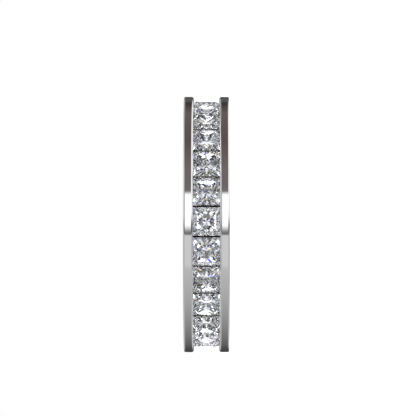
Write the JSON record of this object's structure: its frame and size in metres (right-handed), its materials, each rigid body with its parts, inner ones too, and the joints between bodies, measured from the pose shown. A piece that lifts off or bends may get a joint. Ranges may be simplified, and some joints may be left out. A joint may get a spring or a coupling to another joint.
{
  "type": "channel set band",
  "caption": "Finger ring with square stones set edge to edge all the way round, held in a channel between two plain polished rails, with light holes drilled under the stones.",
  "frame": {"origin": "on the ring's axis, in the flat side that it lies on", "axes": "+Z along the ring's axis, up from the side it lies on; the first and the last stone lie on either side of +X"},
  "size_m": [0.021, 0.021, 0.0037],
  "materials": {
    "white_gold": "cast 18-carat white gold, rhodium-plated and mirror polished",
    "diamond": "colourless diamond, princess cut, polished facets"
  },
  "bodies": {
    "root": {"band": "white_gold", "stone_01": "diamond", "stone_02": "diamond", "stone_03": "diamond", "stone_04": "diamond", "stone_05": "diamond", "stone_06": "diamond", "stone_07": "diamond", "stone_08": "diamond", "stone_09": "diamond", "stone_10": "diamond", "stone_11": "diamond", "stone_12": "diamond", "stone_13": "diamond", "stone_14": "diamond", "stone_15": "diamond", "stone_16": "diamond", "stone_17": "diamond", "stone_18": "diamond", "stone_19": "diamond", "stone_20": "diamond", "stone_21": "diamond", "stone_22": "diamond", "stone_23": "diamond", "stone_24": "diamond", "stone_25": "diamond", "stone_26": "diamond"}
  },
  "joints": []
}
